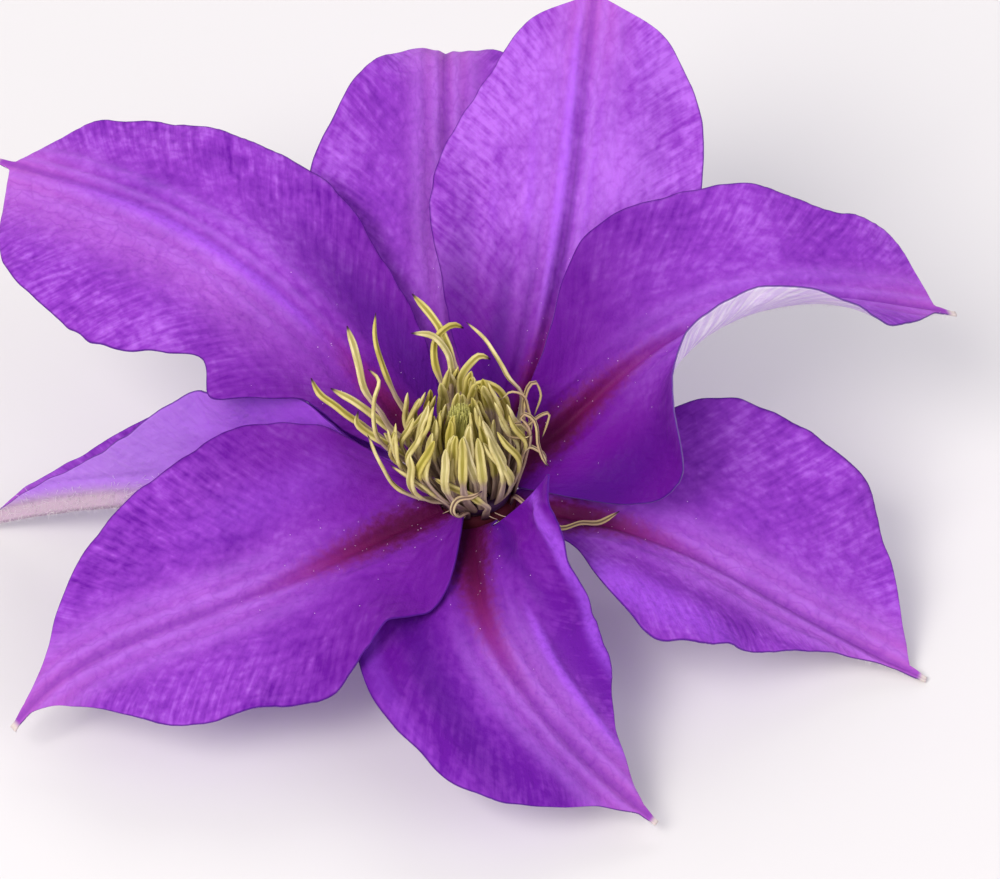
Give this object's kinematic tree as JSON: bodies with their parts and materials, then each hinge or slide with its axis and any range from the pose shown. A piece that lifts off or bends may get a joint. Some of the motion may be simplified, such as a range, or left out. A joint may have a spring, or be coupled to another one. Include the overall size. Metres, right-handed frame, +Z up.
{
  "type": "clematis flower",
  "caption": "Open clematis flower with broad pointed violet sepals spread round a tuft of curling cream stamens, lying on its lower sepal tips and a short bent stalk.",
  "frame": {"origin": "middle of the flower's bounding box in plan, on the plane that it lies on", "axes": "+Z up from the surface, +X across the flower's widest spread to its right as seen from the front, -Y towards the front sepal"},
  "size_m": [0.1502, 0.1222, 0.0651],
  "materials": {
    "sepal": "velvety satin",
    "stalk": "matte, finely haired",
    "stamen": "matte",
    "style": "matte, downy"
  },
  "bodies": {
    "root": {"sepal_upper_left": "sepal", "sepal_back": "sepal", "sepal_top": "sepal", "sepal_upper_right": "sepal", "sepal_lower_right": "sepal", "sepal_front": "sepal", "sepal_lower_left": "sepal", "sepal_left_folded": "sepal", "receptacle": "stalk", "stamens": "stamen", "styles": "style"}
  },
  "joints": []
}
